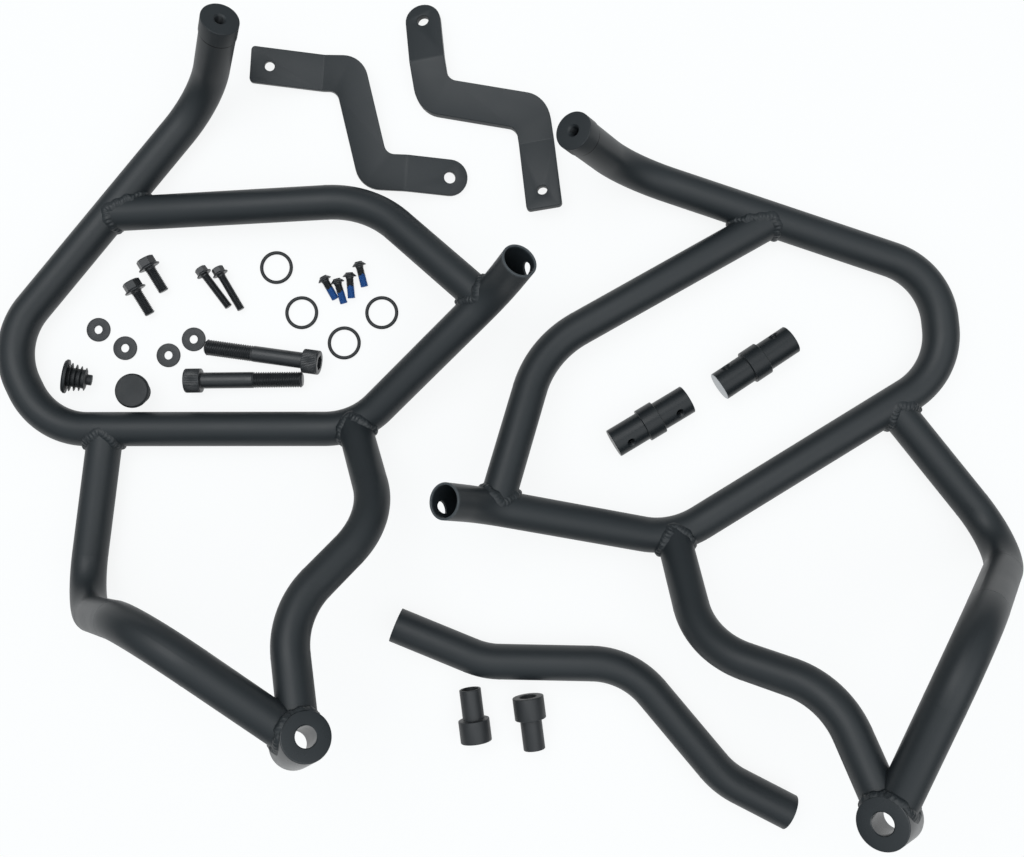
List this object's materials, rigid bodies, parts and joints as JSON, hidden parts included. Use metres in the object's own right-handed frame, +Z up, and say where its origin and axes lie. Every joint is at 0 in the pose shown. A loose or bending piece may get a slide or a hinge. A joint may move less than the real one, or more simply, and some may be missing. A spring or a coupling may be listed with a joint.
{
  "type": "motorcycle crash bars",
  "caption": "Welded tubular engine guards for a motorcycle in mirrored hands, laid out with the cross tube, couplers, joggled brackets and fasteners that mount them.",
  "frame": {"origin": "on the floor under the middle of the laid-out kit", "axes": "+Z up off the floor, +Y away from the viewer, +X to the right"},
  "size_m": [0.7382, 0.6071, 0.1592],
  "materials": {
    "black_powder_coat": "satin",
    "black_coated_steel": "satin",
    "black_oxide_steel": "black oxide",
    "black_rubber": "matt"
  },
  "bodies": {
    "root": {"left_main_tube": "black_powder_coat", "left_brace_tube": "black_powder_coat", "left_outer_leg": "black_powder_coat", "left_inner_leg": "black_powder_coat", "left_boss": "black_powder_coat", "left_threaded_cap": "black_powder_coat", "left_welds": "black_powder_coat", "right_main_tube": "black_powder_coat", "right_brace_tube": "black_powder_coat", "right_outer_leg": "black_powder_coat", "right_inner_leg": "black_powder_coat", "right_boss": "black_powder_coat", "right_threaded_cap": "black_powder_coat", "right_welds": "black_powder_coat", "cross_tube": "black_powder_coat", "bracket_1": "black_powder_coat", "bracket_2": "black_powder_coat", "coupler_1": "black_coated_steel", "coupler_2": "black_coated_steel", "socket_bolt_1": "black_oxide_steel", "socket_bolt_2": "black_oxide_steel", "spacer_1": "black_oxide_steel", "spacer_2": "black_oxide_steel", "m8_flange_bolt_1": "black_oxide_steel", "m8_flange_bolt_2": "black_oxide_steel", "m6_flange_bolt_1": "black_oxide_steel", "m6_flange_bolt_2": "black_oxide_steel", "washer_1": "black_oxide_steel", "washer_2": "black_oxide_steel", "washer_3": "black_oxide_steel", "washer_4": "black_oxide_steel", "button_screw_1": "black_oxide_steel", "button_screw_2": "black_oxide_steel", "button_screw_3": "black_oxide_steel", "button_screw_4": "black_oxide_steel", "o_ring_1": "black_rubber", "o_ring_2": "black_rubber", "o_ring_3": "black_rubber", "o_ring_4": "black_rubber", "tube_plug_1": "black_rubber", "tube_plug_2": "black_rubber"}
  },
  "joints": []
}
